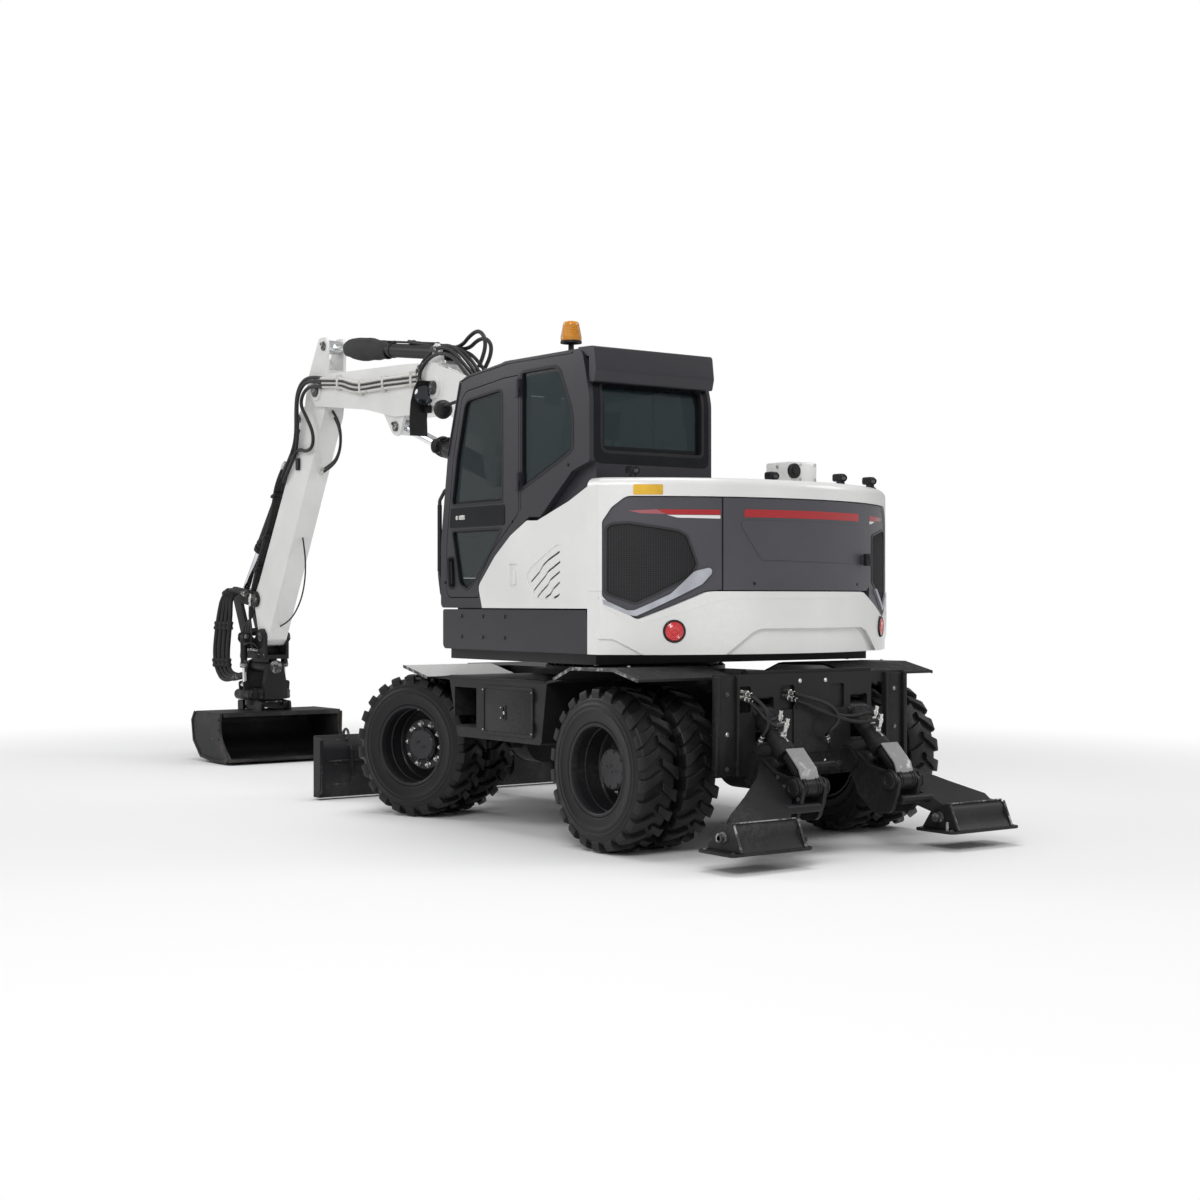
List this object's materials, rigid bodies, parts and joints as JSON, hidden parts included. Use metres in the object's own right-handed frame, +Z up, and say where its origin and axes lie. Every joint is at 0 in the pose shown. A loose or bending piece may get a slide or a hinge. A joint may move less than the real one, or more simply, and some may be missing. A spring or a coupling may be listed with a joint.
{
  "type": "wheeled excavator",
  "caption": "Compact wheeled excavator with twin tyres, two-piece boom, tilting rotator and bucket, dozer blade and rear stabiliser legs.",
  "frame": {"origin": "on the ground under the slew centre, midway between the axles", "axes": "+X forward, +Y to the operator's left, +Z up"},
  "size_m": [9.4378, 2.8029, 4.06],
  "materials": {
    "black_paint": "satin black paint",
    "white_paint": "gloss white paint",
    "dark_paint": "satin dark grey paint",
    "grille_paint": "satin grey paint",
    "rim_paint": "satin black paint",
    "chrome": "polished chrome",
    "tyre": "worn black rubber",
    "glass": "dark tinted glass",
    "fabric": "woven seat cloth",
    "cast_iron": "painted casting",
    "amber": "clear amber plastic"
  },
  "bodies": {
    "chassis": {"chassis_frame": "black_paint", "front_axle": "black_paint", "rear_axle": "black_paint"},
    "knuckle_left": {"knuckle_left": "black_paint"},
    "knuckle_right": {"knuckle_right": "black_paint"},
    "wheel_front_left": {"tyres_front_left": "tyre", "rims_front_left": "rim_paint"},
    "wheel_front_right": {"tyres_front_right": "tyre", "rims_front_right": "rim_paint"},
    "wheel_rear_left": {"tyres_rear_left": "tyre", "rims_rear_left": "rim_paint"},
    "wheel_rear_right": {"tyres_rear_right": "tyre", "rims_rear_right": "rim_paint"},
    "upper": {"upper_frame": "black_paint", "counterweight": "white_paint", "skirts": "dark_paint", "engine_shell": "white_paint", "engine_block": "cast_iron", "side_panel": "white_paint", "right_deck": "white_paint", "cab_shell": "dark_paint", "cab_glass": "glass", "cab_interior": "fabric", "beacon": "amber"},
    "cab_door": {"cab_door": "dark_paint", "door_glass": "glass"},
    "rear_door": {"rear_door": "grille_paint"},
    "blade": {"blade": "black_paint"},
    "blade_barrel": {"blade_barrel": "black_paint"},
    "blade_rod": {"blade_rod": "chrome"},
    "leg_left": {"stabiliser_leg_left": "black_paint"},
    "pad_left": {"stabiliser_pad_left": "black_paint"},
    "leg_barrel_left": {"stabiliser_left_barrel": "black_paint"},
    "leg_rod_left": {"stabiliser_left_rod": "chrome"},
    "leg_right": {"stabiliser_leg_right": "black_paint"},
    "pad_right": {"stabiliser_pad_right": "black_paint"},
    "leg_barrel_right": {"stabiliser_right_barrel": "black_paint"},
    "leg_rod_right": {"stabiliser_right_rod": "chrome"},
    "lower_boom": {"lower_boom": "white_paint"},
    "lift_barrel": {"lift_barrel": "black_paint"},
    "lift_rod": {"lift_rod": "chrome"},
    "upper_boom": {"upper_boom": "white_paint"},
    "adjust_barrel": {"adjust_barrel": "black_paint"},
    "adjust_rod": {"adjust_rod": "chrome"},
    "arm": {"arm": "white_paint"},
    "arm_barrel": {"arm_barrel": "black_paint"},
    "arm_rod": {"arm_rod": "chrome"},
    "coupler": {"coupler": "black_paint"},
    "rocker": {"rocker": "black_paint"},
    "link": {"link": "black_paint"},
    "bucket_barrel": {"bucket_barrel": "black_paint"},
    "bucket_rod": {"bucket_rod": "chrome"},
    "tilt_body": {"tilt_body": "black_paint"},
    "tilt_barrel_left": {"tilt_barrel_left": "black_paint"},
    "tilt_rod_left": {"tilt_rod_left": "chrome"},
    "tilt_barrel_right": {"tilt_barrel_right": "black_paint"},
    "tilt_rod_right": {"tilt_rod_right": "chrome"},
    "tool": {"hitch": "black_paint", "bucket": "black_paint"}
  },
  "joints": [
    {"name": "steer_left", "type": "hinge", "parent": "chassis", "child": "knuckle_left", "pos_m": [1.275, 0.79, 0.525], "axis": [0, 0, 1], "range_deg": [-50, 10]},
    {"name": "steer_right", "type": "hinge", "parent": "chassis", "child": "knuckle_right", "pos_m": [1.275, -0.79, 0.525], "axis": [0, 0, 1], "range_deg": [-51, 11]},
    {"name": "wheel_front_left_spin", "type": "hinge", "parent": "knuckle_left", "child": "wheel_front_left", "pos_m": [1.275, 0.79, 0.525], "axis": [-0.342, 0.9397, 0], "continuous": true},
    {"name": "wheel_front_right_spin", "type": "hinge", "parent": "knuckle_right", "child": "wheel_front_right", "pos_m": [1.275, -0.79, 0.525], "axis": [-0.342, 0.9397, 0], "continuous": true},
    {"name": "wheel_rear_left_spin", "type": "hinge", "parent": "chassis", "child": "wheel_rear_left", "pos_m": [-1.275, 0, 0.525], "axis": [0, 1, 0], "continuous": true},
    {"name": "wheel_rear_right_spin", "type": "hinge", "parent": "chassis", "child": "wheel_rear_right", "pos_m": [-1.275, 0, 0.525], "axis": [0, 1, 0], "continuous": true},
    {"name": "slew", "type": "hinge", "parent": "chassis", "child": "upper", "pos_m": [0, 0, 1.18], "axis": [0, 0, 1], "continuous": true},
    {"name": "cab_door_hinge", "type": "hinge", "parent": "upper", "child": "cab_door", "pos_m": [-0.33, 1.236, 2.3], "axis": [0, 0, 1], "range_deg": [0, 95]},
    {"name": "rear_door_hinge", "type": "hinge", "parent": "upper", "child": "rear_door", "pos_m": [-1.683, 0.636, 1.93], "axis": [0, 0, -1], "range_deg": [0, 100]},
    {"name": "blade_lift", "type": "hinge", "parent": "chassis", "child": "blade", "pos_m": [1.74, 0, 0.56], "axis": [0, -1, 0], "range_deg": [-8, 28]},
    {"name": "blade_barrel_swing", "type": "hinge", "parent": "chassis", "child": "blade_barrel", "pos_m": [1.765, 0, 0.96], "axis": [0, -1, 0], "range_deg": [-6.37, 21.03]},
    {"name": "blade_rod_slide", "type": "slide", "parent": "blade_barrel", "child": "blade_rod", "axis": [0.6927, 0, -0.7213], "range_m": [-0.1645, 0.0484]},
    {"name": "stabiliser_left", "type": "hinge", "parent": "chassis", "child": "leg_left", "pos_m": [-1.96, 0.405, 0.56], "axis": [0, 1, 0], "range_deg": [-20, 50]},
    {"name": "pad_left_swing", "type": "hinge", "parent": "leg_left", "child": "pad_left", "pos_m": [-2.39, 0.9, 0.205], "axis": [0, 1, 0], "range_deg": [-15, 15]},
    {"name": "stabiliser_left_barrel_swing", "type": "hinge", "parent": "chassis", "child": "leg_barrel_left", "pos_m": [-1.85, 0.405, 0.88], "axis": [0, 1, 0], "range_deg": [-11.13, 27.07]},
    {"name": "stabiliser_left_rod_slide", "type": "slide", "parent": "leg_barrel_left", "child": "leg_rod_left", "axis": [-0.723, 0, -0.6909], "range_m": [-0.1754, 0.0714]},
    {"name": "stabiliser_right", "type": "hinge", "parent": "chassis", "child": "leg_right", "pos_m": [-1.96, -0.405, 0.56], "axis": [0, 1, 0], "range_deg": [-20, 50]},
    {"name": "pad_right_swing", "type": "hinge", "parent": "leg_right", "child": "pad_right", "pos_m": [-2.39, -0.9, 0.205], "axis": [0, 1, 0], "range_deg": [-15, 15]},
    {"name": "stabiliser_right_barrel_swing", "type": "hinge", "parent": "chassis", "child": "leg_barrel_right", "pos_m": [-1.85, -0.405, 0.88], "axis": [0, 1, 0], "range_deg": [-11.13, 27.07]},
    {"name": "stabiliser_right_rod_slide", "type": "slide", "parent": "leg_barrel_right", "child": "leg_rod_right", "axis": [-0.723, 0, -0.6909], "range_m": [-0.1754, 0.0714]},
    {"name": "boom_lift", "type": "hinge", "parent": "upper", "child": "lower_boom", "pos_m": [0.35, -0.08, 1.72], "axis": [0, -1, 0], "range_deg": [-38, 27]},
    {"name": "lift_barrel_swing", "type": "hinge", "parent": "upper", "child": "lift_barrel", "pos_m": [1, -0.08, 1.33], "axis": [0, -1, 0], "range_deg": [-38.52, 27.52]},
    {"name": "lift_rod_slide", "type": "slide", "parent": "lift_barrel", "child": "lift_rod", "axis": [0.326, 0, 0.9454], "range_m": [-0.4992, 0.3553]},
    {"name": "boom_adjust", "type": "hinge", "parent": "lower_boom", "child": "upper_boom", "pos_m": [2.7, -0.08, 3.38], "axis": [0, -1, 0], "range_deg": [-50, 20]},
    {"name": "adjust_barrel_swing", "type": "hinge", "parent": "lower_boom", "child": "adjust_barrel", "pos_m": [1.9, -0.08, 2.58], "axis": [0, -1, 0], "range_deg": [-18.04, 7.52]},
    {"name": "adjust_rod_slide", "type": "slide", "parent": "adjust_barrel", "child": "adjust_rod", "axis": [0.9462, 0, 0.3235], "range_m": [-0.5379, 0.2163]},
    {"name": "arm_swing", "type": "hinge", "parent": "upper_boom", "child": "arm", "pos_m": [4.93, -0.08, 3.56], "axis": [0, 1, 0], "range_deg": [-35, 65]},
    {"name": "arm_barrel_swing", "type": "hinge", "parent": "upper_boom", "child": "arm_barrel", "pos_m": [2.8, -0.08, 3.7], "axis": [0, 1, 0], "range_deg": [-2.04, 3.35]},
    {"name": "arm_rod_slide", "type": "slide", "parent": "arm_barrel", "child": "arm_rod", "axis": [0.9914, 0, 0.1306], "range_m": [-0.2394, 0.4429]},
    {"name": "bucket_curl", "type": "hinge", "parent": "arm", "child": "coupler", "pos_m": [6.15, -0.08, 1.22], "axis": [0, 1, 0], "range_deg": [-50, 70]},
    {"name": "rocker_swing", "type": "hinge", "parent": "arm", "child": "rocker", "pos_m": [6.28, -0.08, 1.6], "axis": [0, 1, 0], "range_deg": [-42.24, 58.94]},
    {"name": "link_swing", "type": "hinge", "parent": "coupler", "child": "link", "pos_m": [6.54, -0.08, 1.15], "axis": [0, 1, 0], "range_deg": [-52.84, 37.88]},
    {"name": "bucket_barrel_swing", "type": "hinge", "parent": "arm", "child": "bucket_barrel", "pos_m": [5.38, -0.08, 3.33], "axis": [0, 1, 0], "range_deg": [-6.42, 8.78]},
    {"name": "bucket_rod_slide", "type": "slide", "parent": "bucket_barrel", "child": "bucket_rod", "axis": [0.653, 0, -0.7573], "range_m": [-0.2922, 0.4082]},
    {"name": "tilt", "type": "hinge", "parent": "coupler", "child": "tilt_body", "pos_m": [6.35, -0.08, 0.93], "axis": [1, 0, 0], "range_deg": [-30, 30]},
    {"name": "tilt_barrel_left_swing", "type": "hinge", "parent": "coupler", "child": "tilt_barrel_left", "pos_m": [6.35, 0.145, 1.23], "axis": [1, 0, 0], "range_deg": [-11.45, 11.45]},
    {"name": "tilt_rod_left_slide", "type": "slide", "parent": "tilt_barrel_left", "child": "tilt_rod_left", "axis": [0, -0.0208, -0.9998], "range_m": [-0.1178, 0.1178]},
    {"name": "tilt_barrel_right_swing", "type": "hinge", "parent": "coupler", "child": "tilt_barrel_right", "pos_m": [6.35, -0.305, 1.23], "axis": [1, 0, 0], "range_deg": [-11.45, 11.45]},
    {"name": "tilt_rod_right_slide", "type": "slide", "parent": "tilt_barrel_right", "child": "tilt_rod_right", "axis": [0, 0.0208, -0.9998], "range_m": [-0.1178, 0.1178]},
    {"name": "tool_rotate", "type": "hinge", "parent": "tilt_body", "child": "tool", "pos_m": [6.35, -0.08, 0.6], "axis": [0, 0, 1], "continuous": true}
  ],
  "couplings": [
    {"joint": "steer_right", "follows": "steer_left", "ratio": 1},
    {"joint": "blade_barrel_swing", "follows": "blade_lift", "ratio": 0.719},
    {"joint": "blade_rod_slide", "follows": "blade_lift", "m_per_rad": -0.3259},
    {"joint": "stabiliser_left_barrel_swing", "follows": "stabiliser_left", "ratio": 0.521},
    {"joint": "stabiliser_left_rod_slide", "follows": "stabiliser_left", "m_per_rad": -0.1948},
    {"joint": "stabiliser_right_barrel_swing", "follows": "stabiliser_right", "ratio": 0.521},
    {"joint": "stabiliser_right_rod_slide", "follows": "stabiliser_right", "m_per_rad": -0.1948},
    {"joint": "lift_barrel_swing", "follows": "boom_lift", "ratio": 0.981},
    {"joint": "lift_rod_slide", "follows": "boom_lift", "m_per_rad": 0.735},
    {"joint": "adjust_barrel_swing", "follows": "boom_adjust", "ratio": 0.344},
    {"joint": "adjust_rod_slide", "follows": "boom_adjust", "m_per_rad": 0.602},
    {"joint": "arm_barrel_swing", "follows": "arm_swing", "ratio": 0.043},
    {"joint": "arm_rod_slide", "follows": "arm_swing", "m_per_rad": 0.381},
    {"joint": "rocker_swing", "follows": "bucket_curl", "ratio": 0.8185},
    {"joint": "link_swing", "follows": "bucket_curl", "ratio": -0.733},
    {"joint": "bucket_barrel_swing", "follows": "bucket_curl", "ratio": 0.116},
    {"joint": "bucket_rod_slide", "follows": "bucket_curl", "m_per_rad": 0.326},
    {"joint": "tilt_barrel_left_swing", "follows": "tilt", "ratio": 0.358},
    {"joint": "tilt_rod_left_slide", "follows": "tilt", "m_per_rad": -0.2168},
    {"joint": "tilt_barrel_right_swing", "follows": "tilt", "ratio": 0.358},
    {"joint": "tilt_rod_right_slide", "follows": "tilt", "m_per_rad": 0.2168}
  ]
}
